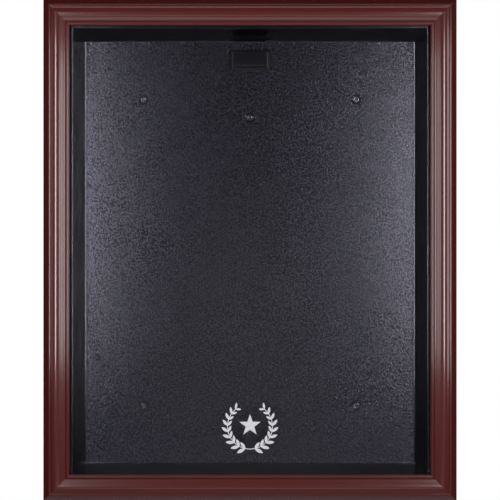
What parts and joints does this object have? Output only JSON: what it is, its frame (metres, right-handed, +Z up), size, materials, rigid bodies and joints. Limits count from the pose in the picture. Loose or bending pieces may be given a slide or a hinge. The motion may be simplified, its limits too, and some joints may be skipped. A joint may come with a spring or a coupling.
{
  "type": "jersey display frame",
  "caption": "Wall-hung shadow box for a folded-out shirt: sloped black tray, rod bracket, timber case and a hinged mahogany moulding door with a clear pane.",
  "frame": {"origin": "middle of the four wall screws, on the wall plane", "axes": "+Z up, +X to the right as seen from the front, +Y into the wall; the door faces -Y"},
  "size_m": [0.88, 0.076, 1.068],
  "materials": {
    "mahogany": "satin lacquer over a dark red-brown stain",
    "case_black": "matt black stain",
    "tray_black": "satin, haircell grain on the flat panel",
    "bracket_black": "semi-gloss moulding",
    "clear_acrylic": "clear, polished",
    "frost_print": "frosted print",
    "black_steel": "black oxide",
    "zinc_steel": "zinc plated",
    "eyelet_dark": "glossy black lacquer",
    "magnet_grey": "sintered ferrite",
    "bumper_rubber": "translucent grey"
  },
  "bodies": {
    "case": {"back_tray": "tray_black", "batten_top": "case_black", "batten_bottom": "case_black", "batten_left": "case_black", "batten_right": "case_black", "batten_screws": "zinc_steel", "flange_screws": "black_steel", "rod_bracket": "bracket_black", "bracket_screws": "zinc_steel", "bracket_washers": "zinc_steel", "eyelet_top_left": "eyelet_dark", "eyelet_top_right": "eyelet_dark", "eyelet_bottom_left": "eyelet_dark", "eyelet_bottom_right": "eyelet_dark", "eyelet_middle": "eyelet_dark", "hinge_case_leaf_top": "black_steel", "hinge_case_leaf_middle": "black_steel", "hinge_case_leaf_bottom": "black_steel", "hinge_pin_top": "black_steel", "hinge_pin_middle": "black_steel", "hinge_pin_bottom": "black_steel", "hinge_case_screws": "black_steel", "magnet_cup_upper": "zinc_steel", "magnet_cup_lower": "zinc_steel", "magnet_upper": "magnet_grey", "magnet_lower": "magnet_grey"},
    "door": {"door_rail_top": "mahogany", "door_rail_bottom": "mahogany", "door_rail_left": "mahogany", "door_rail_right": "mahogany", "door_v_nails": "zinc_steel", "acrylic_pane": "clear_acrylic", "pane_emblem": "frost_print", "pane_stop_top": "case_black", "pane_stop_bottom": "case_black", "pane_stop_left": "case_black", "pane_stop_right": "case_black", "stop_brads": "zinc_steel", "hinge_door_leaf_top": "black_steel", "hinge_door_leaf_middle": "black_steel", "hinge_door_leaf_bottom": "black_steel", "hinge_door_screws": "black_steel", "strike_plate_upper": "zinc_steel", "strike_plate_lower": "zinc_steel", "strike_screws": "zinc_steel", "door_bumpers": "bumper_rubber"}
  },
  "joints": [
    {"name": "door_hinge", "type": "hinge", "parent": "case", "child": "door", "pos_m": [-0.4352, -0.0503, 0.0055], "axis": [0, 0, -1], "range_deg": [0, 120]}
  ]
}
